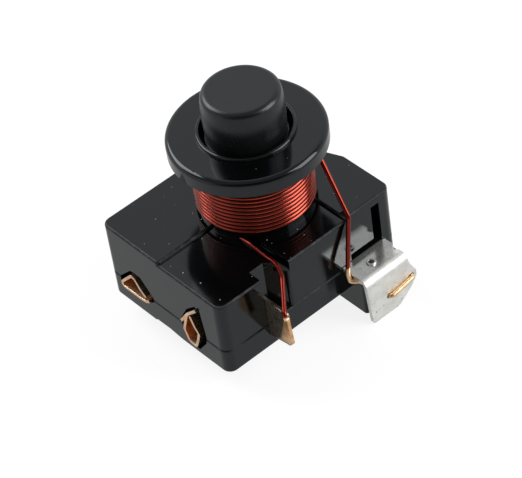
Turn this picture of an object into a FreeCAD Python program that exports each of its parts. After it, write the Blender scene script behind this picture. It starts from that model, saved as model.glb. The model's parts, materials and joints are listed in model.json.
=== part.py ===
"""Current start relay for a small compressor: two-part housing, lift coil and contact set.

Millimetres. The origin lies on the plug face at the parting plane, midway between the two sockets.
X runs to the terminal side, Y into the relay, Z up along the coil.
"""
import math
import os

import FreeCAD
import Part
from FreeCAD import Vector

# Fits, and how far a cut runs past a face
FIT_CLEARANCE = 0.05
RUNNING_CLEARANCE = 0.1
SLOT_CLEARANCE = 0.08
CUT_MARGIN = 1.0
TOLERANCE = 1e-4

# Housing outline
HOUSING_WIDTH = 26.5
HOUSING_DEPTH = 33.6
UPPER_HEIGHT = 9.4
BASE_HEIGHT = 4.5
CORNER_RADIUS = 1.5
TOP_EDGE_RADIUS = 0.35
BOTTOM_EDGE_RADIUS = 0.5
PARTING_CHAMFER = 0.15
SLANT_WIDTH = 16.4
SLANT_DEPTH = 6.5

# Coil axis in plan
AXIS_X = 0.6
AXIS_Y = 19.05

# Recess in the top face
RECESS_DEPTH = 0.5
RIDGE_X = 0.3
STEP_Y = 24.4
RIDGE_RADIUS = 0.5

# Pin sockets
PIN_SPACING = 13.0
BRASS_SHEET = 0.45
BEND_INSIDE = 0.2
SOCKET_STANDOUT = 0.35
SOCKET_LENGTH = 6.8
WINDOW_DEPTH = 8.9
START_LOOP = [(3.3, -0.55), (2.4, -1.1), (0.9, -1.25), (-2.8, -1.2), (-3.1, -0.6), (-2.0, 0.65),
              (-0.35, 2.35), (0.5, 2.15), (1.5, 0.8), (2.6, -0.1)]
START_WINDOW = [(-3.7, -1.55), (2.5, -1.55), (4.1, -0.35), (4.1, 0.6), (1.55, 3.05), (-0.7, 3.05),
                (-3.7, 0.1)]
RUN_LOOP = [(0.2, 3.2), (0.95, 1.6), (1.75, 0.5), (1.25, -1.1), (0.5, -2.8), (-0.95, -2.45),
            (-1.7, -0.6), (-1.2, 1.0), (-0.45, 3.1)]
RUN_ROOF = [(1.9, 5.4), (-0.3, 3.3), (-2.15, 0.75)]
RUN_WINDOW = [(-2.2, -2.3), (-0.4, -3.4), (0.9, -3.4), (2.8, -0.9), (3.1, 0.6), (2.4, 5.7), (1.35, 5.7),
              (-0.7, 3.9), (-2.7, 0.6)]

# Notch, lead groove and run tab on the terminal side
NOTCH_FRONT = 8.0
NOTCH_LENGTH = 4.75
NOTCH_DEPTH = 2.55
NOTCH_STRAIGHT = 2.55
NOTCH_LIP = 0.55
NOTCH_EDGE = 0.5
GROOVE_WIDTH = 1.75
GROOVE_PAST_NOTCH = 0.55
GROOVE_REACH = 9.1
GROOVE_DEPTH = 2.25
TAB_REACH = 4.75
TAB_BOTTOM = -2.0
TAB_TOP = 5.2
TAB_CORNER = 0.4
TAB_SHANK_LOW = -1.0
TAB_SHANK_HIGH = 1.2

# Contact chamber and start strip pocket
CHAMBER_HALF_WIDTH = 8.7
CHAMBER_AHEAD = 5.8
CHAMBER_ROOF = 6.2
BASE_FLOOR = 1.2
STRIP_WIDTH = 4.0
STRIP_ROOM = 0.5
START_STRIP_LEVEL = -1.2
START_TAIL_Y = 3.4
START_RISER_Y = 9.8
STRIP_OVERHANG = 2.0

# Contacts
CONTACT_OFFSET = 5.5
CONTACT_RADIUS = 1.5
CONTACT_HEIGHT = 0.5
RIVET_RADIUS = 0.75
RIVET_HEAD_RADIUS = 1.1
RIVET_HEAD_HEIGHT = 0.35
FIXED_CONTACT_FACE = 4.1
CONTACT_GAP = 2.0
BRIDGE_THICKNESS = 0.6
BRIDGE_WIDTH = 3.5
BRIDGE_END = 1.5

# Line terminal. The flap's corners and holes are measured from the plate's front edge, the neck from
# the wall and the plate's rear edge.
LINE_SHEET = 0.6
PLATE_FRONT = 22.75
PLATE_LENGTH = 8.3
PLATE_NECK = [(2.8, -0.5), (1.65, 0.2)]
SHANK_INSET = 1.95
SHANK_LENGTH = 6.1
FLAP_REACH = 5.15
FLAP_BEND = 0.55
FLAP_CORNERS = [(0.6, -8.05, 0.5), (5.95, -8.1, 2.0), (8.65, -5.9, 1.5), (9.7, -4.5, 0.6), (9.7, -3.4, 0.8),
                (8.7, -1.6, 0.8)]
FLAP_HOLES = [(4.15, -4.73), (8.7, -3.97)]
FLAP_HOLE_RADIUS = 0.5
PLATE_HOLE_RADIUS = 0.45
HOLE_RIM = 0.25
PLATE_HOLE_REACH = 2.35
PLATE_HOLE_INSET = 3.65

# Openings in the rear right wall
LOW_SLOT_LENGTH = 4.6
LOW_SLOT_TOP = 1.9
TALL_SLOT_LENGTH = 1.6
TALL_SLOT_TOP = 8.05
WALL_SLOT_DEPTH = 2.2
LEAD_NOTCH_Y = 24.8

# Base leg, relief and pegs
LEG_WIDTH = 7.6
LEG_LENGTH = 8.45
LEG_SETBACK = 0.8
LEG_BOTTOM = -7.25
LEG_RADIUS = 0.5
LEAD_GAP = 1.0
LEAD_RELIEF = (2.0, 1.7, 1.6)
RELIEF = [(-2.9, 0.0), (-2.6, 0.65), (0.6, 0.7), (6.4, 0.0)]
RELIEF_DEPTH = 3.0
PEG_RADIUS = 1.1
PEG_HEIGHT = 3.0
PEG_INSET = 2.25
LEFT_PEGS_Y = (11.0, 22.0)
RIGHT_PEGS_Y = (3.8, 17.6)

# Bobbin, winding and cap
WIRE_RADIUS = 0.36
CREST_HALF = 0.16
TURNS = 13
LAYERS = 2
TUBE_RADIUS = 7.55
BORE_RADIUS = 5.75
SPIGOT_RADIUS = 7.0
WEB_THICKNESS = 1.2
BOSS_RADIUS = 8.7
LOWER_FLANGE = 0.8
TOP_FLANGE_RADIUS = 11.85
WINDING_ROOM = 0.44
TOP_FLANGE = 2.74
FLANGE_EDGE = 0.8
COLLAR_RADIUS = 7.4
COLLAR_HEIGHT = 0.55
COLLAR_EDGE = 0.3
MOUTH_RADIUS = 6.85
MOUTH_EDGE = 0.1
DISH_RADIUS = 6.1
CAP_SEAT_DROP = 1.4
CAP_FOOT_RADIUS = 5.95
CAP_RADIUS = 6.15
CAP_TOP_RADIUS = 5.75
CAP_HEIGHT = 8.21
CAP_STRAIGHT = 5.7
CAP_SWELL = 15.0
CAP_EDGE = 0.95
CAP_SPIGOT = 0.6

# Armature and stem
STOP_WASHER = 0.5
STOP_WASHER_HOLE = 1.9
ARMATURE_GAP = 0.25
ARMATURE_TRAVEL = 2.6
ARMATURE_CHAMFER = 0.4
STEM_RADIUS = 1.2
STEM_HOLE_RADIUS = 1.6
STEM_SEAT = 6.0
STEM_TIP_RADIUS = 0.75
CLIP_GROOVE = 0.2
STEM_TAIL = 0.4
BUSH_RADIUS = 1.1
BUSH_FLANGE_RADIUS = 1.9
BUSH_FLANGE = 0.5
SPRING_LENGTH = 2.2
SPRING_TURNS = 3
SPRING_WIRE_RADIUS = 0.15
SPRING_WIRE_SIDES = 8
SPRING_RADIUS = 1.4
SPRING_WASHER = 0.3
CLIP_THICKNESS = 0.4
CLIP_RADIUS = 1.45
CLIP_MOUTH = 0.9

# Coil leads. The lower one ends in a flattened foot on the tab, measured from the tab's end.
LEAD_BEND = 0.6
LEAD_START_BEND = 1.2
LEAD_SWEEP = 2.5
STITCH_BEND = 0.45
LOWER_LEAD_RISE = (6.6, 0.15)
LOWER_LEAD_DIP = 0.9
LOWER_LEAD_BOW = 0.75
FOOT_CORNERS = [(0.0, 5.0), (0.55, 5.0), (1.05, 0.2), (0.45, -0.1), (-1.1, -0.1), (-1.3, 0.25)]
FOOT_THICKNESS = 0.5
UPPER_LEAD_ANGLE = 53.0
UPPER_LEAD_DROP = 0.75
HOOK_REACH = 2.15
HOOK_TOP = 0.9
HOOK_BOTTOM = -0.4
HOOK_LEAN = 0.4
UNDER_PLATE = (3.0, 0.55, -0.5)
BEHIND_FLAP = (1.35, -1.2)

# Derived levels
LEFT_X = AXIS_X - HOUSING_WIDTH / 2
RIGHT_X = AXIS_X + HOUSING_WIDTH / 2
NOTCH_INNER = RIGHT_X - NOTCH_DEPTH
NOTCH_REAR = NOTCH_FRONT + NOTCH_LENGTH
GROOVE_REAR = NOTCH_REAR + GROOVE_PAST_NOTCH
GROOVE_FRONT = GROOVE_REAR - GROOVE_WIDTH
PLATE_REAR = PLATE_FRONT + PLATE_LENGTH
SHANK_FRONT = PLATE_FRONT + SHANK_INSET
SHANK_REAR = SHANK_FRONT + SHANK_LENGTH
CHAMBER_FRONT = AXIS_Y - CHAMBER_AHEAD
CHAMBER_REAR = SHANK_FRONT + LINE_SHEET + STRIP_ROOM
PEGS = [(LEFT_X + PEG_INSET, y) for y in LEFT_PEGS_Y] + [(RIGHT_X - PEG_INSET, y) for y in RIGHT_PEGS_Y]
RECESS_LEVEL = UPPER_HEIGHT - RECESS_DEPTH
WEB_TOP = CHAMBER_ROOF + WEB_THICKNESS
WINDING_BOTTOM = UPPER_HEIGHT + LOWER_FLANGE
WINDING_TOP = WINDING_BOTTOM + TURNS * 2 * WIRE_RADIUS
WINDING_RADIUS = TUBE_RADIUS + FIT_CLEARANCE + LAYERS * 2 * WIRE_RADIUS
FLANGE_BOTTOM = WINDING_TOP + WINDING_ROOM
FLANGE_TOP = FLANGE_BOTTOM + TOP_FLANGE
COLLAR_TOP = FLANGE_TOP + COLLAR_HEIGHT
CAP_SEAT = COLLAR_TOP - CAP_SEAT_DROP
ARMATURE_BOTTOM = WEB_TOP + STOP_WASHER
ARMATURE_TOP = CAP_SEAT - CAP_SPIGOT - RUNNING_CLEARANCE - ARMATURE_TRAVEL
ARMATURE_RADIUS = BORE_RADIUS - ARMATURE_GAP
STRIP_BOTTOM = FIXED_CONTACT_FACE + CONTACT_HEIGHT
BRIDGE_TOP = FIXED_CONTACT_FACE - CONTACT_GAP - CONTACT_HEIGHT
BRIDGE_BOTTOM = BRIDGE_TOP - BRIDGE_THICKNESS
STEM_SHOULDER = BRIDGE_TOP + RUNNING_CLEARANCE
SPRING_TOP = BRIDGE_BOTTOM - BUSH_FLANGE
SPRING_BOTTOM = SPRING_TOP - SPRING_LENGTH
CLIP_TOP = SPRING_BOTTOM - SPRING_WASHER
STEM_BOTTOM = CLIP_TOP - CLIP_THICKNESS - STEM_TAIL
TAB_FRONT = NOTCH_FRONT + SLOT_CLEARANCE
TAB_MIDDLE = TAB_FRONT + BRASS_SHEET / 2
TAB_END = RIGHT_X + TAB_REACH
FLAP_OUTER_X = RIGHT_X + FLAP_REACH
FLAP_INNER_X = FLAP_OUTER_X - LINE_SHEET
LEG_OUTER_X = FLAP_INNER_X - LEAD_GAP
START_SOCKET_X = -PIN_SPACING / 2
RUN_SOCKET_X = PIN_SPACING / 2
START_CONTACT_X = AXIS_X - CONTACT_OFFSET
LINE_CONTACT_X = AXIS_X + CONTACT_OFFSET


def in_plan(height):
    """Places (x, y) corners at one height."""
    return lambda u, v: Vector(u, v, height)


def facing_front(y, center_x=0.0):
    """Places (x, z) corners on a plane across Y, measured from a centre line."""
    return lambda u, v: Vector(center_x + u, y, v)


def facing_side(x):
    """Places (y, z) corners on a plane across X."""
    return lambda u, v: Vector(x, u, v)


def corner_arc(before, corner, after, radius):
    """First, middle and last point of the arc that rounds a corner."""
    into = (corner - before).normalize()
    out = (after - corner).normalize()
    half_turn = into.getAngle(out) / 2
    reach = radius * math.tan(half_turn)
    inward = (out - into).normalize()
    middle = corner + inward * (radius / math.cos(half_turn) - radius)
    return corner - into * reach, middle, corner + out * reach


def outline(corners, place, radius=0.0):
    """Face through the corners. A corner's own third value, or the common radius, rounds it."""
    points = [place(corner[0], corner[1]) for corner in corners]
    radii = [corner[2] if len(corner) > 2 else radius for corner in corners]
    arcs = []
    for index, corner in enumerate(points):
        if radii[index] > 0:
            after = points[(index + 1) % len(points)]
            arcs.append(corner_arc(points[index - 1], corner, after, radii[index]))
        else:
            arcs.append((corner, corner, corner))
    edges = []
    for index, (first, middle, last) in enumerate(arcs):
        previous = arcs[index - 1][2]
        if (first - previous).Length > TOLERANCE:
            edges.append(Part.LineSegment(previous, first).toShape())
        if radii[index] > 0:
            edges.append(Part.Arc(first, middle, last).toShape())
    return Part.Face(Part.Wire(edges))


def strip(path, thickness, place, inside=BEND_INSIDE):
    """Face of sheet metal seen on edge: a centre line of straight runs with rounded bends."""
    count = len(path)
    steps = []
    for (u0, v0), (u1, v1) in zip(path, path[1:]):
        length = math.hypot(u1 - u0, v1 - v0)
        steps.append(((u1 - u0) / length, (v1 - v0) / length))
    left, right = [], []
    for index, (u, v) in enumerate(path):
        into = steps[max(index - 1, 0)]
        out = steps[min(index, count - 2)]
        share = 1 + into[0] * out[0] + into[1] * out[1]
        side_u = -(into[1] + out[1]) / share * thickness / 2
        side_v = (into[0] + out[0]) / share * thickness / 2
        turn = into[0] * out[1] - into[1] * out[0]
        inner, outer = inside, inside + thickness
        if index in (0, count - 1):
            inner = outer = 0.0
        left.append((u + side_u, v + side_v, inner if turn > 0 else outer))
        right.append((u - side_u, v - side_v, outer if turn > 0 else inner))
    return outline(left + right[::-1], place)


def box(low_x, high_x, low_y, high_y, low_z, high_z):
    return Part.makeBox(high_x - low_x, high_y - low_y, high_z - low_z, Vector(low_x, low_y, low_z))


def cylinder(radius, bottom, top, x=AXIS_X, y=AXIS_Y):
    return Part.makeCylinder(radius, top - bottom, Vector(x, y, bottom))


def turned(corners, x=AXIS_X, y=AXIS_Y):
    """Solid turned about an upright axis from (radius, height) corners."""
    profile = outline(corners, facing_front(y, x))
    return profile.revolve(Vector(x, y, 0), Vector(0, 0, 1), 360)


def edges_at(shape, height):
    """Edges that lie flat at one height."""
    return [edge for edge in shape.Edges
            if max(abs(vertex.Z - height) for vertex in edge.Vertexes) < TOLERANCE]


def joined(*shapes):
    return shapes[0].multiFuse(list(shapes[1:])).removeSplitter()


def round_wire(route):
    """Round wire along straight runs. The route gives each point with the bend radius there."""
    pieces = []
    start = route[0][0]
    for (before, _), (corner, bend), (after, _) in zip(route, route[1:], route[2:]):
        first, middle, last = corner_arc(before, corner, after, bend)
        run = first - start
        pieces.append(Part.makeCylinder(WIRE_RADIUS, run.Length, start, run))
        section = Part.Face(Part.Wire(Part.makeCircle(WIRE_RADIUS, first, run)))
        onward = after - corner
        center = middle + (middle - corner).normalize() * bend
        pieces.append(section.revolve(center, run.cross(onward), math.degrees(run.getAngle(onward))))
        start = last
    run = route[-1][0] - start
    pieces.append(Part.makeCylinder(WIRE_RADIUS, run.Length, start, run))
    return joined(*pieces)


def around_axis(radius, angle, height):
    """Point at a distance from the coil axis, at an angle from the terminal side."""
    turn = math.radians(angle)
    return Vector(AXIS_X + radius * math.cos(turn), AXIS_Y + radius * math.sin(turn), height)


def housing_outline(height):
    corners = [(LEFT_X, 0), (RIGHT_X, 0), (RIGHT_X, HOUSING_DEPTH), (LEFT_X + SLANT_WIDTH, HOUSING_DEPTH),
               (LEFT_X, HOUSING_DEPTH - SLANT_DEPTH)]
    return outline(corners, in_plan(height), CORNER_RADIUS)


def window(corners, center_x):
    """Opening from the plug face back, for one socket."""
    face = outline(corners, facing_front(-CUT_MARGIN, center_x), BEND_INSIDE)
    return face.extrude(Vector(0, WINDOW_DEPTH + CUT_MARGIN, 0))


def chamber(bottom, top):
    half = CHAMBER_HALF_WIDTH
    return box(AXIS_X - half, AXIS_X + half, CHAMBER_FRONT, CHAMBER_REAR, bottom, top)


def start_strip_pocket(front, bottom, top):
    half = STRIP_WIDTH / 2 + STRIP_ROOM
    return box(START_CONTACT_X - half, START_CONTACT_X + half, front, CHAMBER_FRONT, bottom, top)


def tab_slot():
    room = SLOT_CLEARANCE
    shank = box(RUN_SOCKET_X, NOTCH_INNER, NOTCH_FRONT, TAB_FRONT + BRASS_SHEET + room,
                TAB_SHANK_LOW - room, TAB_SHANK_HIGH + room)
    blade = box(NOTCH_INNER, RIGHT_X + CUT_MARGIN, NOTCH_FRONT, TAB_FRONT + BRASS_SHEET + room,
                TAB_BOTTOM, TAB_TOP)
    return shank.fuse(blade)


def make_upper_housing():
    low = housing_outline(0).extrude(Vector(0, 0, RECESS_LEVEL))
    low = low.makeChamfer(PARTING_CHAMFER, edges_at(low, 0))
    low = low.makeFillet(TOP_EDGE_RADIUS, edges_at(low, RECESS_LEVEL))
    corners = [(LEFT_X, 0), (RIDGE_X, 0, RIDGE_RADIUS), (RIDGE_X, STEP_Y, RIDGE_RADIUS),
               (RIGHT_X, STEP_Y, RIDGE_RADIUS), (RIGHT_X, HOUSING_DEPTH),
               (LEFT_X + SLANT_WIDTH, HOUSING_DEPTH), (LEFT_X, HOUSING_DEPTH - SLANT_DEPTH)]
    high = outline(corners, in_plan(CHAMBER_ROOF), CORNER_RADIUS)
    high = high.extrude(Vector(0, 0, UPPER_HEIGHT - CHAMBER_ROOF))
    high = high.makeFillet(TOP_EDGE_RADIUS, edges_at(high, UPPER_HEIGHT))
    boss = cylinder(BOSS_RADIUS, CHAMBER_ROOF, UPPER_HEIGHT)
    shape = joined(low, high, boss)

    outside_x = RIGHT_X + CUT_MARGIN
    notch_corners = [(outside_x, NOTCH_FRONT), (NOTCH_INNER, NOTCH_FRONT),
                     (NOTCH_INNER, NOTCH_FRONT + NOTCH_STRAIGHT), (RIGHT_X - NOTCH_LIP, NOTCH_REAR),
                     (RIGHT_X, NOTCH_REAR, NOTCH_EDGE), (RIGHT_X, NOTCH_REAR + CUT_MARGIN),
                     (outside_x, NOTCH_REAR + CUT_MARGIN)]
    notch = outline(notch_corners, in_plan(-CUT_MARGIN)).extrude(Vector(0, 0, UPPER_HEIGHT + 2 * CUT_MARGIN))
    groove = box(RIGHT_X - GROOVE_REACH, outside_x, GROOVE_FRONT, GROOVE_REAR,
                 UPPER_HEIGHT - GROOVE_DEPTH, UPPER_HEIGHT + CUT_MARGIN)
    notch_start = Vector(RIGHT_X - CORNER_RADIUS, LEAD_NOTCH_Y, UPPER_HEIGHT)
    lead_notch = Part.makeCylinder(WIRE_RADIUS + RUNNING_CLEARANCE, 2 * CORNER_RADIUS, notch_start,
                                   Vector(1, 0, 0))
    shank_slot = box(LINE_CONTACT_X - STRIP_WIDTH / 2 - SLOT_CLEARANCE, outside_x,
                     SHANK_FRONT - SLOT_CLEARANCE, SHANK_REAR + SLOT_CLEARANCE,
                     -CUT_MARGIN, LINE_SHEET + SLOT_CLEARANCE)
    wall_x = RIGHT_X - WALL_SLOT_DEPTH
    tall_slot_y = SHANK_FRONT + LOW_SLOT_LENGTH
    low_slot = box(wall_x, outside_x, SHANK_FRONT, tall_slot_y, 0, LOW_SLOT_TOP)
    tall_slot = box(wall_x, outside_x, tall_slot_y, tall_slot_y + TALL_SLOT_LENGTH,
                    LINE_SHEET, TALL_SLOT_TOP)
    peg_holes = [cylinder(PEG_RADIUS + FIT_CLEARANCE, -CUT_MARGIN, PEG_HEIGHT + RUNNING_CLEARANCE, x, y)
                 for x, y in PEGS]
    strip_top = STRIP_BOTTOM + BRASS_SHEET + STRIP_ROOM
    cuts = [notch, groove, lead_notch, shank_slot, low_slot, tall_slot, tab_slot(),
            cylinder(SPIGOT_RADIUS + FIT_CLEARANCE, WEB_TOP, UPPER_HEIGHT + CUT_MARGIN),
            cylinder(STEM_HOLE_RADIUS, CHAMBER_ROOF - CUT_MARGIN, UPPER_HEIGHT),
            chamber(-CUT_MARGIN, CHAMBER_ROOF), start_strip_pocket(SOCKET_LENGTH, -CUT_MARGIN, strip_top),
            window(START_WINDOW, START_SOCKET_X), window(RUN_WINDOW, RUN_SOCKET_X)]
    return shape.cut(cuts + peg_holes).removeSplitter()


def make_base_cover():
    shell = housing_outline(-BASE_HEIGHT).extrude(Vector(0, 0, BASE_HEIGHT))
    shell = shell.makeChamfer(PARTING_CHAMFER, edges_at(shell, 0))
    shell = shell.makeFillet(BOTTOM_EDGE_RADIUS, edges_at(shell, -BASE_HEIGHT))
    leg_inner_x = LEG_OUTER_X - LEG_WIDTH
    leg_front = PLATE_FRONT + LEG_SETBACK
    leg_rear = PLATE_FRONT + LEG_LENGTH
    leg_corners = [(leg_inner_x, leg_front), (LEG_OUTER_X, leg_front), (LEG_OUTER_X, leg_rear),
                   (leg_inner_x, leg_rear)]
    leg = outline(leg_corners, in_plan(LEG_BOTTOM), LEG_RADIUS).extrude(Vector(0, 0, -LEG_BOTTOM))
    pegs = [cylinder(PEG_RADIUS, -BASE_FLOOR, PEG_HEIGHT, x, y) for x, y in PEGS]
    relief_corners = [(x, rise - BASE_HEIGHT) for x, rise in RELIEF]
    relief = outline(relief_corners + [(RELIEF[-1][0], -BASE_HEIGHT - CUT_MARGIN),
                                       (RELIEF[0][0], -BASE_HEIGHT - CUT_MARGIN)], facing_front(-CUT_MARGIN))
    relief = relief.extrude(Vector(0, RELIEF_DEPTH + CUT_MARGIN, 0))
    floor = BASE_FLOOR - BASE_HEIGHT
    strip_floor = START_STRIP_LEVEL - BRASS_SHEET / 2
    relief_width, relief_length, relief_height = LEAD_RELIEF
    lead_relief = box(LEG_OUTER_X - relief_width, LEG_OUTER_X + CUT_MARGIN, PLATE_FRONT - CUT_MARGIN,
                      PLATE_FRONT + relief_length, -relief_height, CUT_MARGIN)
    cuts = [relief, lead_relief, tab_slot(), chamber(floor, CUT_MARGIN),
            start_strip_pocket(START_TAIL_Y - SLOT_CLEARANCE, strip_floor, CUT_MARGIN),
            window(START_WINDOW, START_SOCKET_X), window(RUN_WINDOW, RUN_SOCKET_X)]
    return joined(joined(shell, leg).cut(cuts), *pegs)


def make_coil_bobbin():
    corners = [(BORE_RADIUS, WEB_TOP), (SPIGOT_RADIUS, WEB_TOP), (SPIGOT_RADIUS, UPPER_HEIGHT),
               (BOSS_RADIUS, UPPER_HEIGHT), (BOSS_RADIUS, WINDING_BOTTOM), (TUBE_RADIUS, WINDING_BOTTOM),
               (TUBE_RADIUS, FLANGE_BOTTOM), (TOP_FLANGE_RADIUS, FLANGE_BOTTOM, BEND_INSIDE),
               (TOP_FLANGE_RADIUS, FLANGE_TOP, FLANGE_EDGE), (COLLAR_RADIUS, FLANGE_TOP),
               (COLLAR_RADIUS, COLLAR_TOP, COLLAR_EDGE), (MOUTH_RADIUS, COLLAR_TOP, MOUTH_EDGE),
               (DISH_RADIUS, CAP_SEAT), (BORE_RADIUS, CAP_SEAT)]
    return turned(corners)


def make_top_cap():
    top = CAP_SEAT + CAP_HEIGHT
    bottom = CAP_SEAT - CAP_SPIGOT
    corners = [(0, bottom), (BORE_RADIUS - FIT_CLEARANCE, bottom), (BORE_RADIUS - FIT_CLEARANCE, CAP_SEAT),
               (CAP_FOOT_RADIUS, CAP_SEAT), (CAP_RADIUS, CAP_SEAT + CAP_STRAIGHT, CAP_SWELL),
               (CAP_TOP_RADIUS, top, CAP_EDGE), (0, top)]
    return turned(corners)


def make_coil_winding():
    """Close turns of wire: each turn is a rib with a flat crest."""
    pitch = 2 * WIRE_RADIUS
    valley = WINDING_RADIUS - WIRE_RADIUS
    inner = TUBE_RADIUS + FIT_CLEARANCE
    corners = [(inner, WINDING_TOP), (inner, WINDING_BOTTOM), (valley, WINDING_BOTTOM)]
    for turn in range(TURNS):
        middle = WINDING_BOTTOM + turn * pitch + WIRE_RADIUS
        corners += [(WINDING_RADIUS, middle - CREST_HALF), (WINDING_RADIUS, middle + CREST_HALF),
                    (valley, middle + WIRE_RADIUS)]
    return turned(corners)


def make_start_terminal():
    place = facing_front(-SOCKET_STANDOUT, START_SOCKET_X)
    eye = strip(START_LOOP, BRASS_SHEET, place).extrude(Vector(0, SOCKET_LENGTH, 0))
    level = STRIP_BOTTOM + BRASS_SHEET / 2
    path = [(START_TAIL_Y, START_STRIP_LEVEL), (START_RISER_Y, START_STRIP_LEVEL),
            (START_RISER_Y, level), (AXIS_Y + STRIP_OVERHANG, level)]
    tail = strip(path, BRASS_SHEET, facing_side(START_CONTACT_X - STRIP_WIDTH / 2))
    tail = tail.extrude(Vector(STRIP_WIDTH, 0, 0))
    hole = cylinder(RIVET_RADIUS, STRIP_BOTTOM - CUT_MARGIN, STRIP_BOTTOM + CUT_MARGIN, START_CONTACT_X)
    return joined(eye, tail).cut(hole)


def make_run_terminal():
    place = facing_front(-SOCKET_STANDOUT, RUN_SOCKET_X)
    eye = strip(RUN_LOOP, BRASS_SHEET, place).extrude(Vector(0, SOCKET_LENGTH, 0))
    roof = strip(RUN_ROOF, BRASS_SHEET, place).extrude(Vector(0, SOCKET_LENGTH, 0))
    wall_x = RUN_SOCKET_X + max(x for x, z in RUN_LOOP)
    path = [(wall_x, SOCKET_LENGTH / 2), (wall_x, TAB_MIDDLE), (NOTCH_INNER + BRASS_SHEET, TAB_MIDDLE)]
    shank = strip(path, BRASS_SHEET, in_plan(TAB_SHANK_LOW))
    shank = shank.extrude(Vector(0, 0, TAB_SHANK_HIGH - TAB_SHANK_LOW))
    blade_x = NOTCH_INNER + SLOT_CLEARANCE
    blade_corners = [(blade_x, TAB_BOTTOM), (RIGHT_X, TAB_BOTTOM),
                     (TAB_END, TAB_BOTTOM + 2 * TAB_CORNER, TAB_CORNER), (TAB_END, TAB_TOP, TAB_CORNER),
                     (blade_x, TAB_TOP)]
    blade = outline(blade_corners, facing_front(TAB_FRONT)).extrude(Vector(0, BRASS_SHEET, 0))
    return joined(eye, roof, shank, blade)


def make_line_terminal():
    inner_x = LINE_CONTACT_X - STRIP_WIDTH / 2
    wall_x = RIGHT_X + SLOT_CLEARANCE
    bend_x = FLAP_INNER_X - FLAP_BEND
    riser_rear = SHANK_FRONT + 2 * LINE_SHEET
    neck = [(RIGHT_X + x, PLATE_REAR + y) for x, y in PLATE_NECK]
    plate_corners = [(inner_x + STRIP_WIDTH, SHANK_FRONT), (wall_x, SHANK_FRONT), (wall_x, PLATE_FRONT),
                     (bend_x, PLATE_FRONT), (bend_x, PLATE_REAR), (bend_x - FLAP_BEND, PLATE_REAR)]
    plate_corners += neck + [(wall_x, neck[-1][1]), (wall_x, SHANK_REAR), (inner_x, SHANK_REAR),
                             (inner_x, riser_rear), (inner_x + STRIP_WIDTH, riser_rear)]
    plate = outline(plate_corners, in_plan(0)).extrude(Vector(0, 0, LINE_SHEET))
    middle_x = FLAP_OUTER_X - LINE_SHEET / 2
    bend_path = [(bend_x - FLAP_BEND, LINE_SHEET / 2), (middle_x, LINE_SHEET / 2), (middle_x, -FLAP_BEND)]
    bend = strip(bend_path, LINE_SHEET, facing_front(PLATE_FRONT), FLAP_BEND)
    bend = bend.extrude(Vector(0, PLATE_LENGTH, 0))
    flap_corners = [(PLATE_FRONT + corner[0],) + corner[1:] for corner in FLAP_CORNERS]
    flap_corners = [(PLATE_FRONT, -FLAP_BEND)] + flap_corners + [(PLATE_REAR, -FLAP_BEND)]
    flap = outline(flap_corners, facing_side(FLAP_INNER_X)).extrude(Vector(LINE_SHEET, 0, 0))
    level = STRIP_BOTTOM + LINE_SHEET / 2
    riser_y = SHANK_FRONT + LINE_SHEET / 2
    path = [(SHANK_REAR, LINE_SHEET / 2), (riser_y, LINE_SHEET / 2), (riser_y, level),
            (AXIS_Y - STRIP_OVERHANG, level)]
    tongue = strip(path, LINE_SHEET, facing_side(inner_x)).extrude(Vector(STRIP_WIDTH, 0, 0))
    holes = [Part.makeCylinder(FLAP_HOLE_RADIUS, LINE_SHEET, Vector(FLAP_INNER_X, PLATE_FRONT + y, z),
                               Vector(1, 0, 0)) for y, z in FLAP_HOLES]
    hole_x = RIGHT_X + PLATE_HOLE_REACH
    hole_y = PLATE_FRONT + PLATE_HOLE_INSET
    rim_top = LINE_SHEET + HOLE_RIM
    rim = cylinder(PLATE_HOLE_RADIUS + HOLE_RIM, 0, rim_top, hole_x, hole_y)
    holes.append(cylinder(PLATE_HOLE_RADIUS, 0, rim_top, hole_x, hole_y))
    holes.append(cylinder(RIVET_RADIUS, STRIP_BOTTOM, STRIP_BOTTOM + LINE_SHEET, LINE_CONTACT_X))
    return joined(plate, bend, flap, tongue, rim).cut(holes)


def make_fixed_contact(x, sheet):
    top = STRIP_BOTTOM + sheet
    corners = [(0, FIXED_CONTACT_FACE), (CONTACT_RADIUS, FIXED_CONTACT_FACE), (CONTACT_RADIUS, STRIP_BOTTOM),
               (RIVET_RADIUS, STRIP_BOTTOM), (RIVET_RADIUS, top), (RIVET_HEAD_RADIUS, top),
               (RIVET_HEAD_RADIUS, top + RIVET_HEAD_HEIGHT), (0, top + RIVET_HEAD_HEIGHT)]
    return turned(corners, x)


def make_bridge_contacts():
    face = BRIDGE_TOP + CONTACT_HEIGHT
    tail = BRIDGE_BOTTOM - RIVET_HEAD_HEIGHT
    corners = [(0, tail), (RIVET_HEAD_RADIUS, tail), (RIVET_HEAD_RADIUS, BRIDGE_BOTTOM),
               (RIVET_RADIUS, BRIDGE_BOTTOM), (RIVET_RADIUS, BRIDGE_TOP), (CONTACT_RADIUS, BRIDGE_TOP),
               (CONTACT_RADIUS, face), (0, face)]
    return Part.makeCompound([turned(corners, START_CONTACT_X), turned(corners, LINE_CONTACT_X)])


def make_contact_bridge():
    front, rear = AXIS_Y - BRIDGE_WIDTH / 2, AXIS_Y + BRIDGE_WIDTH / 2
    left, right = START_CONTACT_X - BRIDGE_END, LINE_CONTACT_X + BRIDGE_END
    corners = [(left, front), (right, front), (right, rear), (left, rear)]
    bar = outline(corners, in_plan(BRIDGE_BOTTOM), BRIDGE_END / 2).extrude(Vector(0, 0, BRIDGE_THICKNESS))
    holes = [cylinder(RIVET_RADIUS, BRIDGE_BOTTOM, BRIDGE_TOP, x) for x in (START_CONTACT_X, LINE_CONTACT_X)]
    return bar.cut(holes + [cylinder(BUSH_RADIUS, BRIDGE_BOTTOM, BRIDGE_TOP)])


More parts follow.
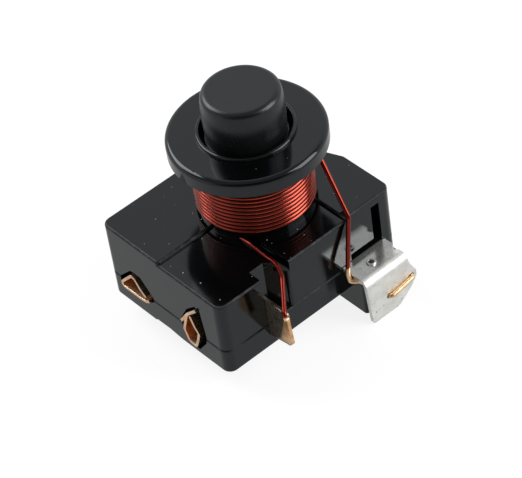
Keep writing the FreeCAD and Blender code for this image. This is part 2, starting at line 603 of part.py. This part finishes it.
def make_bridge_bush():
    bore = STEM_TIP_RADIUS + RUNNING_CLEARANCE
    return turned([(bore, SPRING_TOP), (BUSH_FLANGE_RADIUS, SPRING_TOP), (BUSH_FLANGE_RADIUS, BRIDGE_BOTTOM),
                   (BUSH_RADIUS, BRIDGE_BOTTOM), (BUSH_RADIUS, STEM_SHOULDER), (bore, STEM_SHOULDER)])


def make_armature():
    chamfer = ARMATURE_CHAMFER
    return turned([(STEM_RADIUS, ARMATURE_BOTTOM), (ARMATURE_RADIUS - chamfer, ARMATURE_BOTTOM),
                   (ARMATURE_RADIUS, ARMATURE_BOTTOM + chamfer), (ARMATURE_RADIUS, ARMATURE_TOP - chamfer),
                   (ARMATURE_RADIUS - chamfer, ARMATURE_TOP), (0, ARMATURE_TOP),
                   (0, ARMATURE_BOTTOM + STEM_SEAT), (STEM_RADIUS, ARMATURE_BOTTOM + STEM_SEAT)])


def make_armature_stem():
    top = ARMATURE_BOTTOM + STEM_SEAT
    groove = STEM_TIP_RADIUS - CLIP_GROOVE
    clip_bottom = CLIP_TOP - CLIP_THICKNESS
    return turned([(0, STEM_BOTTOM), (STEM_TIP_RADIUS, STEM_BOTTOM), (STEM_TIP_RADIUS, clip_bottom),
                   (groove, clip_bottom), (groove, CLIP_TOP), (STEM_TIP_RADIUS, CLIP_TOP),
                   (STEM_TIP_RADIUS, STEM_SHOULDER), (STEM_RADIUS, STEM_SHOULDER), (STEM_RADIUS, top),
                   (0, top)])


def make_contact_spring():
    rise = SPRING_LENGTH - 2 * SPRING_WIRE_RADIUS
    path = Part.makeHelix(rise / SPRING_TURNS, rise, SPRING_RADIUS)
    turns = [2 * math.pi * side / SPRING_WIRE_SIDES for side in range(SPRING_WIRE_SIDES + 1)]
    across = [SPRING_RADIUS + SPRING_WIRE_RADIUS * math.cos(turn) for turn in turns]
    along = [SPRING_WIRE_RADIUS * math.sin(turn) for turn in turns]
    section = Part.makePolygon([Vector(x, 0, z) for x, z in zip(across, along)])
    spring = Part.Wire(path.Edges).makePipeShell([section], True, True)
    spring.translate(Vector(AXIS_X, AXIS_Y, SPRING_BOTTOM + SPRING_WIRE_RADIUS))
    return spring


def make_ring(outer, inner, bottom, top):
    return turned([(inner, bottom), (outer, bottom), (outer, top), (inner, top)])


def make_stem_clip():
    bottom = CLIP_TOP - CLIP_THICKNESS
    ring = make_ring(CLIP_RADIUS, STEM_TIP_RADIUS - CLIP_GROOVE, bottom, CLIP_TOP)
    mouth = box(AXIS_X, AXIS_X + 2 * CLIP_RADIUS, AXIS_Y - CLIP_MOUTH / 2, AXIS_Y + CLIP_MOUTH / 2,
                bottom, CLIP_TOP)
    return ring.cut(mouth)


def make_lower_coil_lead():
    """Out from under the bobbin, along the groove and over the notch, then down the tab to its foot."""
    tab_y = TAB_FRONT - WIRE_RADIUS
    groove_y = GROOVE_FRONT + WIRE_RADIUS + FIT_CLEARANCE
    dip_z = UPPER_HEIGHT - LOWER_LEAD_DIP
    foot_corners = [(TAB_END + x, z) for x, z in FOOT_CORNERS]
    top_x, top_z = foot_corners[0]
    rise_reach, rise = LOWER_LEAD_RISE
    start_x = RIGHT_X - GROOVE_REACH + FIT_CLEARANCE
    start_z = UPPER_HEIGHT - WIRE_RADIUS - RUNNING_CLEARANCE
    route = [(Vector(start_x, groove_y, start_z), 0),
             (Vector(RIGHT_X - rise_reach, groove_y, start_z + rise), LEAD_SWEEP),
             (Vector(RIGHT_X - LOWER_LEAD_DIP, groove_y, dip_z), LEAD_SWEEP),
             (Vector(RIGHT_X + LOWER_LEAD_BOW, groove_y - LOWER_LEAD_BOW, dip_z - LOWER_LEAD_BOW),
              LEAD_SWEEP),
             (Vector(top_x, tab_y, TAB_TOP + WIRE_RADIUS), LEAD_BEND),
             (Vector(top_x + WIRE_RADIUS / 2, tab_y, top_z - WIRE_RADIUS), 0)]
    wire = round_wire(route)
    foot = outline(foot_corners, facing_front(TAB_FRONT - FOOT_THICKNESS), BEND_INSIDE)
    foot = foot.extrude(Vector(0, FOOT_THICKNESS, 0))
    return joined(wire, foot)


def make_upper_coil_lead(winding):
    """From the top turn over the housing's edge, round the plate and through the flap's two holes."""
    hook_y = PLATE_FRONT - WIRE_RADIUS - RUNNING_CLEARANCE
    behind_x = (LEG_OUTER_X + FLAP_INNER_X) / 2
    ahead_x = FLAP_OUTER_X + WIRE_RADIUS
    hook_x = RIGHT_X + HOOK_REACH
    under_x, under_y, under_z = UNDER_PLATE
    behind_y, behind_z = BEHIND_FLAP
    (first_y, first_z), (second_y, second_z) = [(PLATE_FRONT + y, z) for y, z in FLAP_HOLES]
    route = [(around_axis(WINDING_RADIUS, UPPER_LEAD_ANGLE, WINDING_TOP - UPPER_LEAD_DROP), 0),
             (Vector(RIGHT_X + WIRE_RADIUS, LEAD_NOTCH_Y, UPPER_HEIGHT + WIRE_RADIUS), LEAD_START_BEND),
             (Vector(hook_x - HOOK_LEAN, hook_y, HOOK_TOP), LEAD_BEND),
             (Vector(hook_x, hook_y, HOOK_BOTTOM), STITCH_BEND),
             (Vector(RIGHT_X + under_x, PLATE_FRONT + under_y, under_z), STITCH_BEND),
             (Vector(behind_x, PLATE_FRONT + behind_y, behind_z), STITCH_BEND),
             (Vector(behind_x, first_y, first_z), STITCH_BEND),
             (Vector(ahead_x, first_y, first_z), STITCH_BEND),
             (Vector(ahead_x, second_y, second_z), STITCH_BEND),
             (Vector(behind_x, second_y, second_z), 0)]
    return round_wire(route).cut(winding)


def make_all():
    winding = make_coil_winding()
    stem_bore = STEM_TIP_RADIUS + RUNNING_CLEARANCE
    return {
        "upper_housing": make_upper_housing(),
        "base_cover": make_base_cover(),
        "coil_bobbin": make_coil_bobbin(),
        "top_cap": make_top_cap(),
        "coil_winding": winding,
        "lower_coil_lead": make_lower_coil_lead(),
        "upper_coil_lead": make_upper_coil_lead(winding),
        "start_terminal": make_start_terminal(),
        "run_terminal": make_run_terminal(),
        "line_terminal": make_line_terminal(),
        "start_contact": make_fixed_contact(START_CONTACT_X, BRASS_SHEET),
        "line_contact": make_fixed_contact(LINE_CONTACT_X, LINE_SHEET),
        "armature": make_armature(),
        "armature_stem": make_armature_stem(),
        "contact_bridge": make_contact_bridge(),
        "bridge_contacts": make_bridge_contacts(),
        "bridge_bush": make_bridge_bush(),
        "contact_spring": make_contact_spring(),
        "spring_washer": make_ring(BUSH_FLANGE_RADIUS, stem_bore, CLIP_TOP, SPRING_BOTTOM),
        "stem_clip": make_stem_clip(),
        "stop_washer": make_ring(BORE_RADIUS - ARMATURE_GAP, STOP_WASHER_HOLE, WEB_TOP, ARMATURE_BOTTOM),
    }


os.makedirs("parts", exist_ok=True)
for node, shape in make_all().items():
    shape.exportStep("parts/" + node + ".step")
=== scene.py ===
import json
import math

import bpy
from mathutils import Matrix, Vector


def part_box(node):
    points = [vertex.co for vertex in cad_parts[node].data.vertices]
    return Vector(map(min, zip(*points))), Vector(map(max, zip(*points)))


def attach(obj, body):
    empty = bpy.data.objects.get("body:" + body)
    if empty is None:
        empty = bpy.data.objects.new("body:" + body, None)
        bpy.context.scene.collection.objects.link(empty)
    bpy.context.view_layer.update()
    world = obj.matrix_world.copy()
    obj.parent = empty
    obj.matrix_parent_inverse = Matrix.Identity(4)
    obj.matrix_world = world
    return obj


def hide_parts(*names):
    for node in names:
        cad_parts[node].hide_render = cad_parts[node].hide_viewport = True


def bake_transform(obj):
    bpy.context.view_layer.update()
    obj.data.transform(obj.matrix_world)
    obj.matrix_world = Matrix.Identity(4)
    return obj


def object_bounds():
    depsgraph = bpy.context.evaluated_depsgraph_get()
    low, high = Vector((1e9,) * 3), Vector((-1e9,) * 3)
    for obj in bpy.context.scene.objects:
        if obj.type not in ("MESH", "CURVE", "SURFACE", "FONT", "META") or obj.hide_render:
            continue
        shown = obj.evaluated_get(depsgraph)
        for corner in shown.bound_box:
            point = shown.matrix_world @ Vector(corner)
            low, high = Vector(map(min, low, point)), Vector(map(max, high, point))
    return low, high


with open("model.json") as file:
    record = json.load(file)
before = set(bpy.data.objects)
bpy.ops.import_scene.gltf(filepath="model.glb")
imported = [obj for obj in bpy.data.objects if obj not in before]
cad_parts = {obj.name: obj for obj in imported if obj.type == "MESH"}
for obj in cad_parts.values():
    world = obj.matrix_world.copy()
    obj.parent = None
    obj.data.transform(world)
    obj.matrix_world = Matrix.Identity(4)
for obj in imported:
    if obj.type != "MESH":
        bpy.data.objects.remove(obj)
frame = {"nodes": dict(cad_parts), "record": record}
cad_low, cad_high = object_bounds()
scene = bpy.context.scene
nodes = frame["nodes"]

MM = 0.001

# Places on the part: the coil's axis, the sockets, the brass tab's inner end, the housing's right wall
AXIS = Vector((0.6, 19.05, 0)) * MM
SOCKET_X = 6.5 * MM
TAB_X = 10.5 * MM
WALL_X = 13.7 * MM

# Wire radii, and where the coil's visible layer starts and how far it turns, in degrees
COIL_WIRE = 0.36 * MM
COIL_START = 119
COIL_DEGREES = 12 * 360 + 66
SPRING_WIRE = 0.15 * MM
SPRING_TURNS = 3

# Level direction from the part to the camera
TO_CAMERA = Vector((0.8126, -0.5829, 0))
FLOOR_GAP = 0.05 * MM
WHITE = (1, 1, 1, 1)


# Helpers for shader nodes
def add_node(tree, kind, inputs=None, **settings):
    """New shader node. Inputs are numbers, colours or the sockets that feed them."""
    node = tree.nodes.new("ShaderNode" + kind)
    for name, value in settings.items():
        setattr(node, name, value)
    for key, value in (inputs or {}).items():
        if isinstance(value, bpy.types.NodeSocket):
            tree.links.new(value, node.inputs[key])
        else:
            node.inputs[key].default_value = value
    return node


def calculate(tree, operation, first, second=0.0):
    return add_node(tree, "Math", {0: first, 1: second}, operation=operation).outputs[0]


def remap(tree, value, from_low, from_high, to_low, to_high, smooth=False):
    inputs = {"Value": value, "From Min": from_low, "From Max": from_high,
              "To Min": to_low, "To Max": to_high}
    kind = "SMOOTHSTEP" if smooth else "LINEAR"
    return add_node(tree, "MapRange", inputs, interpolation_type=kind).outputs["Result"]


def mix_colors(tree, factor, first, second):
    """Blend of two colours. A Mix node has its colour inputs at 6 and 7 and their result at 2."""
    return add_node(tree, "Mix", {0: factor, 6: first, 7: second}, data_type="RGBA").outputs[2]


def split(tree, vector):
    """X, Y and Z of a vector."""
    return add_node(tree, "SeparateXYZ", {0: vector}).outputs


def place(tree, scale=(1, 1, 1)):
    """The piece's own coordinates in metres, stretched."""
    coordinates = add_node(tree, "TexCoord").outputs["Object"]
    return add_node(tree, "Mapping", {"Vector": coordinates, "Scale": scale}).outputs["Vector"]


def surface_normal(tree):
    return add_node(tree, "NewGeometry").outputs["Normal"]


def facing_up(tree):
    """How far the surface faces up, from -1 to 1."""
    return split(tree, surface_normal(tree))["Z"]


def worn_edges(tree, radius):
    """1 along the edges of a piece, 0 on its flat faces."""
    rounded = add_node(tree, "Bevel", {"Radius": radius}, samples=6).outputs["Normal"]
    same = add_node(tree, "VectorMath", {0: rounded, 1: surface_normal(tree)}, operation="DOT_PRODUCT")
    return remap(tree, same.outputs["Value"], 0.97, 0.8, 0, 1)


def noise(tree, vector, scale, detail=2.0, roughness=0.5):
    inputs = {"Vector": vector, "Scale": scale, "Detail": detail, "Roughness": roughness}
    return add_node(tree, "TexNoise", inputs).outputs["Fac"]


def new_material(name, **constants):
    """New material, its node tree and its main shader with some inputs set."""
    material = bpy.data.materials.new(name)
    material.use_nodes = True
    tree = material.node_tree
    shader = tree.nodes["Principled BSDF"]
    for key, value in constants.items():
        shader.inputs[key.replace("_", " ")].default_value = value
    return material, tree, shader


def bump(tree, shader, height, strength, distance, edge=0.0):
    """Surface relief, and softly rounded edges where an edge radius is given."""
    node = add_node(tree, "Bump", {"Height": height, "Strength": strength, "Distance": distance})
    if edge:
        rounded = add_node(tree, "Bevel", {"Radius": edge}, samples=6)
        tree.links.new(rounded.outputs["Normal"], node.inputs["Normal"])
    tree.links.new(node.outputs["Normal"], shader.inputs["Normal"])


# Materials
def black_plastic(name, gloss, haze, color, clean_share, scuffs):
    """Moulded black plastic: faintly wavy skin, dust lying on top, scuffed upper edges, a dull seam."""
    material, tree, shader = new_material(name, IOR=1.46, Specular_Tint=(0.88, 0.95, 1.0, 1),
                                          Sheen_Weight=haze, Sheen_Roughness=0.35)
    here = place(tree)
    facing = facing_up(tree)
    specks = add_node(tree, "TexVoronoi", {"Vector": here, "Scale": 480}, voronoi_dimensions="2D").outputs
    size = remap(tree, specks["Color"], clean_share, 1, 0, 0.07)
    near = calculate(tree, "LESS_THAN", specks["Distance"], size)
    dust = calculate(tree, "MULTIPLY", near, remap(tree, facing, 0.6, 0.9, 0, 0.9))
    edge = calculate(tree, "MULTIPLY", remap(tree, facing, 0.2, 0.5, 0, scuffs, True),
                     remap(tree, facing, 0.95, 0.995, 1, 0, True))
    worn = remap(tree, noise(tree, here, 700, 4, 0.7), 0.5, 0.62, 0, 0.4)
    rubbed = calculate(tree, "MULTIPLY", edge, worn)
    marked = mix_colors(tree, rubbed, (*color, 1), (0.09, 0.093, 0.097, 1))
    dusty = mix_colors(tree, dust, marked, (0.42, 0.43, 0.44, 1))
    tree.links.new(dusty, shader.inputs["Base Color"])
    level = calculate(tree, "ABSOLUTE", split(tree, here)["Z"])
    seam = remap(tree, level, 0.2 * MM, 0.35 * MM, 1, 0)
    dulled = calculate(tree, "MAXIMUM", seam, calculate(tree, "MAXIMUM", dust, edge))
    skin = remap(tree, noise(tree, here, 260, 4, 0.6), 0.3, 0.75, *gloss)
    rough = calculate(tree, "ADD", skin, calculate(tree, "MULTIPLY", dulled, 0.5))
    tree.links.new(rough, shader.inputs["Roughness"])
    bump(tree, shader, noise(tree, here, 900, 3), 0.1, 0.03 * MM, 0.05 * MM)
    return material


def copper_wire(name, dark, light, shine, bare_below):
    """Copper under red-brown lacquer, painted darker underneath as shade, stripped bare below a height in
    millimetres.
    """
    material, tree, shader = new_material(name, Metallic=1.0, Coat_Weight=shine, Coat_Roughness=0.08)
    here = place(tree)
    grain = noise(tree, place(tree, (1, 1, 0.25)), 1800, 3)
    uneven = remap(tree, noise(tree, here, 160, 3), 0.3, 0.7, 0, 1)
    lacquer = mix_colors(tree, uneven, (*dark, 1), (*light, 1))
    # Painted shade: the lacquer is painted near black where the wire faces down, darkest on its underside.
    under = remap(tree, facing_up(tree), -0.3, 0.15, 0.95, 0, True)
    shade_darkened_lacquer = mix_colors(tree, under, lacquer, (0.035, 0.006, 0.004, 1))
    patches = remap(tree, noise(tree, here, 700, 5, 0.65), 0.36, 0.64, 0, 1)
    bare = mix_colors(tree, patches, (0.7, 0.36, 0.13, 1), (0.97, 0.72, 0.46, 1))
    height = split(tree, here)["Z"]
    ragged = calculate(tree, "ADD", height, remap(tree, grain, 0, 1, -0.3 * MM, 0.3 * MM))
    lacquered = remap(tree, ragged, (bare_below - 0.12) * MM, (bare_below + 0.12) * MM, 0, 1)
    tree.links.new(mix_colors(tree, lacquered, bare, shade_darkened_lacquer), shader.inputs["Base Color"])
    rough = calculate(tree, "ADD", remap(tree, grain, 0.2, 0.8, 0.16, 0.24),
                      remap(tree, lacquered, 0, 1, 0.2, 0))
    tree.links.new(rough, shader.inputs["Roughness"])
    bump(tree, shader, calculate(tree, "ADD", grain, patches), 0.06, 0.03 * MM)
    return material


def brass_sheet(name):
    """Stamped brass: cream worn edges, each socket painted orange as reflected light and paler as painted
    light where its walls face up, painted dark as shade on its outer faces, and a dull tab.
    """
    material, tree, shader = new_material(name, Metallic=0.9)
    here = place(tree)
    spot = split(tree, here)
    facing = split(tree, surface_normal(tree))
    patches = remap(tree, noise(tree, here, 520, 5, 0.65), 0.36, 0.64, 0, 1)
    rolled = noise(tree, place(tree, (1, 0.12, 1)), 1500, 3)
    # Above 0 where the surface faces away from the middle of its socket
    across = calculate(tree, "SUBTRACT", calculate(tree, "ABSOLUTE", spot["X"]), SOCKET_X)
    side = calculate(tree, "MULTIPLY", calculate(tree, "SIGN", spot["X"]), facing["X"])
    outward = calculate(tree, "ADD", calculate(tree, "MULTIPLY", across, side),
                        calculate(tree, "MULTIPLY", spot["Z"], facing["Z"]))
    # Painted light: an orange reflection painted on the socket walls that face its middle.
    painted_reflection_orange = mix_colors(tree, patches, (0.75, 0.2, 0.02, 1), (1, 0.45, 0.08, 1))
    # Painted light: socket walls that face up are painted paler, as if lit.
    lit = remap(tree, facing["Z"], 0.2, 0.8, 0, 0.8)
    painted_light_within = mix_colors(tree, lit, painted_reflection_orange, (1, 0.88, 0.6, 1))
    # Painted shade: the outer faces of each socket are painted dark.
    painted_outer_shade = mix_colors(tree, patches, (0.16, 0.1, 0.05, 1), (0.4, 0.27, 0.15, 1))
    painted_socket_light = mix_colors(tree, calculate(tree, "GREATER_THAN", outward, 0), painted_light_within, painted_outer_shade)
    dull = mix_colors(tree, patches, (0.29, 0.24, 0.18, 1), (0.36, 0.3, 0.23, 1))
    flat = mix_colors(tree, remap(tree, spot["X"], TAB_X, TAB_X + 0.7 * MM, 0, 1), painted_socket_light, dull)
    rubbed = mix_colors(tree, patches, (0.85, 0.64, 0.46, 1), (1, 0.94, 0.8, 1))
    at_mouth = remap(tree, spot["Y"], 0.2 * MM, 0.6 * MM, 1, 0)
    mouth = calculate(tree, "MULTIPLY", at_mouth, remap(tree, facing["Y"], -0.3, -0.8, 0, 0.55))
    rims = calculate(tree, "MAXIMUM", worn_edges(tree, 0.12 * MM), mouth)
    tree.links.new(mix_colors(tree, rims, flat, rubbed), shader.inputs["Base Color"])
    tree.links.new(remap(tree, rolled, 0.25, 0.75, 0.2, 0.38), shader.inputs["Roughness"])
    bump(tree, shader, calculate(tree, "ADD", patches, rolled), 0.2, 0.05 * MM, 0.12 * MM)
    return material


def tinned_sheet(name):
    """Tinned steel: crystal patches, small dull pits and a matt flap, painted black as shade where it lies
    in the housing.
    """
    material, tree, shader = new_material(name, Metallic=0.85)
    here = place(tree)
    reach = split(tree, here)["X"]
    flap_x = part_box("line_terminal")[1][0]
    crystals = add_node(tree, "TexVoronoi", {"Vector": here, "Scale": 900}).outputs["Color"]
    clouds = noise(tree, here, 450, 5, 0.6)
    pits = remap(tree, noise(tree, here, 2600, 2), 0.68, 0.74, 0, 1)
    tone = calculate(tree, "ADD", calculate(tree, "MULTIPLY", crystals, 0.25), clouds)
    bright = mix_colors(tree, remap(tree, tone, 0.35, 0.85, 0, 1),
                        (0.72, 0.72, 0.69, 1), (0.93, 0.93, 0.89, 1))
    pitted = mix_colors(tree, pits, bright, (0.3, 0.3, 0.28, 1))
    # Painted shade: the sheet is painted near black where it lies in the housing, out of the light.
    out_of_housing = remap(tree, reach, WALL_X, WALL_X + 0.2 * MM, 0, 1)
    painted_housing_shade = mix_colors(tree, out_of_housing, (0.02, 0.02, 0.02, 1), pitted)
    tree.links.new(painted_housing_shade, shader.inputs["Base Color"])
    matt = remap(tree, reach, flap_x - 1.6 * MM, flap_x - 0.9 * MM, 0, 0.28)
    rough = calculate(tree, "ADD", remap(tree, clouds, 0.3, 0.7, 0.13, 0.26), matt)
    tree.links.new(rough, shader.inputs["Roughness"])
    bump(tree, shader, tone, 0.15, 0.05 * MM, 0.1 * MM)
    return material


def worn_metal(name, dark, light, gloss):
    """Plain machined metal with fine wear."""
    material, tree, shader = new_material(name, Metallic=1.0)
    wear = noise(tree, place(tree), 1400, 4, 0.6)
    tree.links.new(mix_colors(tree, wear, (*dark, 1), (*light, 1)), shader.inputs["Base Color"])
    tree.links.new(remap(tree, wear, 0.25, 0.75, *gloss), shader.inputs["Roughness"])
    bump(tree, shader, wear, 0.1, 0.03 * MM, 0.08 * MM)
    return material


def fibre_board(name):
    """Pressed fibre with a short woven grain."""
    material, tree, shader = new_material(name, Roughness=0.65)
    grain = noise(tree, place(tree, (1, 0.3, 1)), 3200, 4, 0.7)
    tree.links.new(mix_colors(tree, grain, (0.16, 0.04, 0.02, 1), (0.36, 0.13, 0.07, 1)),
                   shader.inputs["Base Color"])
    bump(tree, shader, grain, 0.3, 0.04 * MM)
    return material


deep_black = (0.0014, 0.0015, 0.0017)
soft_black = (0.005, 0.0052, 0.0056)
lead_lacquer = {"dark": (0.16, 0.01, 0.005), "light": (0.26, 0.018, 0.008), "shine": 0.3}
never_bare = -100
steel = worn_metal("steel", (0.42, 0.42, 0.43), (0.6, 0.6, 0.6), gloss=(0.2, 0.35))
materials = {
    "phenolic_black": black_plastic("housing_black", gloss=(0.09, 0.14), haze=0, color=deep_black,
                                    clean_share=0.54, scuffs=1),
    "nylon_black": black_plastic("bobbin_black", gloss=(0.06, 0.11), haze=0, color=deep_black,
                                 clean_share=0.8, scuffs=0),
    "enamelled_copper": copper_wire("winding_copper", dark=(0.25, 0.02, 0.008), light=(0.36, 0.038, 0.016),
                                    shine=0.5, bare_below=never_bare),
    "brass": brass_sheet("brass"),
    "tinned_sheet": tinned_sheet("tinned_sheet"),
    "contact_silver": worn_metal("contact_silver", (0.7, 0.69, 0.66), (0.9, 0.89, 0.86), gloss=(0.2, 0.35)),
    "iron": worn_metal("iron", (0.3, 0.3, 0.31), (0.5, 0.5, 0.5), gloss=(0.3, 0.5)),
    "stem_steel": steel,
    "spring_steel": steel,
    "fibre": fibre_board("fibre"),
}
own_materials = {
    "top_cap": black_plastic("cap_black", gloss=(0.24, 0.34), haze=0.08, color=soft_black,
                             clean_share=0.88, scuffs=0),
    "lower_coil_lead": copper_wire("lower_lead_copper", **lead_lacquer, bare_below=5.2),
    "upper_coil_lead": copper_wire("upper_lead_copper", **lead_lacquer, bare_below=1.9),
}
for entry in frame["record"]["subparts"]:
    name = entry["node"]
    mesh = nodes[name].data
    mesh.materials.clear()
    mesh.materials.append(own_materials.get(name, materials[entry["material_slot"]]))


# The winding and the contact spring, each one long round wire
def ease(value):
    """Smooth rise from 0 to 1 as the value goes from 0 to 1."""
    value = min(max(value, 0), 1)
    return value * value * (3 - 2 * value)


def at_angle(angle):
    return Vector((math.cos(angle), math.sin(angle), 0))


def winding_path(radius, low, pitch, first_angle, degrees, steps=96):
    """Flat turns that step up behind the coil, from the layer below to the upper lead."""
    count = int(degrees / 360 * steps)
    for step in range(count + 1):
        turned = degrees * step / count
        level = turned // 360 + ease((turned % 360 - 310) / 50)
        under = pitch * (1 - ease(turned / 20))
        out = ease((turned - degrees + 15) / 15)
        angle = math.radians(first_angle - turned)
        sway = 0.008 * MM * math.sin(2.3 * angle) + 0.006 * MM * math.sin(5.1 * angle + 1)
        reach = radius + sway - under + pitch / 2 * out
        height = low + pitch * (level - 0.25 * out) + sway
        yield reach, height, angle


def spring_path(radius, low, rise, turns, steps=48):
    """Even turns that rise from the spring's foot to its top."""
    for step in range(turns * steps + 1):
        share = step / (turns * steps)
        yield radius, low + rise * share, 2 * math.pi * turns * share


def round_wire(name, wire_radius, path, sides, slot):
    """Wire along a path of distances from the coil's axis, heights and angles."""
    verts, faces = [], []
    for reach, height, angle in path:
        for side in range(sides):
            turn = 2 * math.pi * side / sides
            point = AXIS + at_angle(angle) * (reach + wire_radius * math.cos(turn))
            point.z = height + wire_radius * math.sin(turn)
            verts.append(point)
    for here in range(0, len(verts) - sides, sides):
        for side in range(sides):
            after = (side + 1) % sides
            faces.append((here + side, here + sides + side, here + sides + after, here + after))
    faces.append(tuple(range(sides)))
    faces.append(tuple(reversed(range(len(verts) - sides, len(verts)))))
    mesh = bpy.data.meshes.new(name)
    mesh.from_pydata(verts, [], faces)
    mesh.polygons.foreach_set("use_smooth", [True] * len(mesh.polygons))
    mesh.update()
    mesh.materials.append(materials[slot])
    piece = bpy.data.objects.new(name, mesh)
    scene.collection.objects.link(piece)
    return piece


winding_low, winding_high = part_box("coil_winding")
coil_radius = (winding_high[0] - winding_low[0]) / 2 - COIL_WIRE - 0.015 * MM
coil_path = winding_path(coil_radius, winding_low[2] + COIL_WIRE, 2 * COIL_WIRE, COIL_START, COIL_DEGREES)
coil = round_wire("wound_coil", COIL_WIRE * 0.99, coil_path, 14, "enamelled_copper")
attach(coil, "housing")
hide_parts("coil_winding")

spring_low, spring_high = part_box("contact_spring")
spring_radius = (spring_high[0] - spring_low[0]) / 2 - SPRING_WIRE
spring_rise = spring_high[2] - spring_low[2] - 2 * SPRING_WIRE
turns = spring_path(spring_radius, spring_low[2] + SPRING_WIRE, spring_rise, SPRING_TURNS)
spring = round_wire("contact_spring_coil", SPRING_WIRE * 0.98, turns, 10, "spring_steel")
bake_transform(spring)
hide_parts("contact_spring")

# Floor, white to the eye and in reflections, that still takes the object's shadow
bpy.ops.mesh.primitive_plane_add(size=3, location=(0, 0, cad_low[2] - FLOOR_GAP))
floor = bpy.context.object
floor.name = "floor"
floor_material = bpy.data.materials.new("floor_white")
floor_material.use_nodes = True
tree = floor_material.node_tree
tree.nodes.remove(tree.nodes["Principled BSDF"])
path = add_node(tree, "LightPath").outputs
seen = calculate(tree, "MAXIMUM", path["Is Camera Ray"],
                 calculate(tree, "MAXIMUM", path["Is Glossy Ray"], path["Is Transmission Ray"]))
paper = add_node(tree, "BsdfDiffuse", {"Color": (0.8, 0.8, 0.8, 1)}).outputs[0]
shaded = add_node(tree, "BsdfDiffuse", {"Color": (0.2, 0.2, 0.2, 1)}).outputs[0]
strength = remap(tree, path["Is Camera Ray"], 0, 1, 0.47, 0.85)
glow = add_node(tree, "Emission", {"Color": WHITE, "Strength": strength}).outputs[0]
white = add_node(tree, "AddShader", {0: shaded, 1: glow}).outputs[0]
surface = add_node(tree, "MixShader", {0: seen, 1: paper, 2: white}).outputs[0]
tree.links.new(surface, tree.nodes["Material Output"].inputs["Surface"])
floor.data.materials.append(floor_material)

# Surround: white to the eye, a soft fill, and dimmer overhead and behind the camera in reflections
world = bpy.data.worlds.new("studio")
scene.world = world
world.use_nodes = True
tree = world.node_tree
path = add_node(tree, "LightPath").outputs
direction = add_node(tree, "TexCoord").outputs["Generated"]
ahead = add_node(tree, "VectorMath", {0: direction, 1: TO_CAMERA}, operation="DOT_PRODUCT").outputs["Value"]
behind = remap(tree, ahead, -0.5, -0.2, 0.84, 0.35, True)
walls = remap(tree, split(tree, direction)["Z"], 0.3, 0.5, 0.8, 0, True)
dimmer = calculate(tree, "MULTIPLY", calculate(tree, "MAXIMUM", behind, walls),
                   remap(tree, ahead, 0.45, 0.8, 1, 0.15, True))
fill = tree.nodes["Background"]
fill.inputs["Color"].default_value = WHITE
fill.inputs["Strength"].default_value = 0.35
mirrored = add_node(tree, "Background", {"Color": WHITE, "Strength": dimmer}).outputs[0]
backdrop = add_node(tree, "Background", {"Color": WHITE, "Strength": 1.0}).outputs[0]
in_gloss = calculate(tree, "MAXIMUM", path["Is Glossy Ray"], path["Is Transmission Ray"])
glossy = add_node(tree, "MixShader", {0: in_gloss, 1: fill.outputs[0], 2: mirrored}).outputs[0]
surround = add_node(tree, "MixShader", {0: path["Is Camera Ray"], 1: glossy, 2: backdrop}).outputs[0]
tree.links.new(surround, tree.nodes["World Output"].inputs["Surface"])


def softbox(name, azimuth, elevation, distance, width, height, energy):
    """Soft lamp aimed at the coil. Its azimuth counts from the camera's side, positive to the right."""
    turn, rise = math.radians(azimuth), math.radians(elevation)
    to_right = Vector((-TO_CAMERA.y, TO_CAMERA.x, 0))
    level = TO_CAMERA * math.cos(turn) + to_right * math.sin(turn)
    offset = level * math.cos(rise) + Vector((0, 0, math.sin(rise)))
    data = bpy.data.lights.new(name, "AREA")
    data.shape = "RECTANGLE"
    data.size, data.size_y = width, height
    data.energy = energy
    lamp = bpy.data.objects.new(name, data)
    lamp.location = AXIS + Vector((0, 0, 10 * MM)) + offset * distance
    lamp.rotation_euler = offset.to_track_quat("Z", "Y").to_euler()
    lamp.visible_camera = False
    scene.collection.objects.link(lamp)


softbox("left_softbox", azimuth=-126, elevation=44, distance=0.4, width=0.26, height=0.24, energy=1.0)
softbox("right_softbox", azimuth=74, elevation=28, distance=0.4, width=0.24, height=0.34, energy=1.3)

# Camera at the photo's place
camera_data = bpy.data.cameras.new("camera")
camera_data.sensor_width = 36
camera_data.sensor_fit = "HORIZONTAL"
camera_data.lens = 174.2
camera_data.clip_start = 0.01
camera = bpy.data.objects.new("camera", camera_data)
camera.location = (0.2227, -0.1403, 0.25851)
camera.rotation_euler = [math.radians(angle) for angle in (46.3354, 6.4913, 48.2561)]
scene.collection.objects.link(camera)
scene.camera = camera
scene.view_settings.view_transform = "Standard"
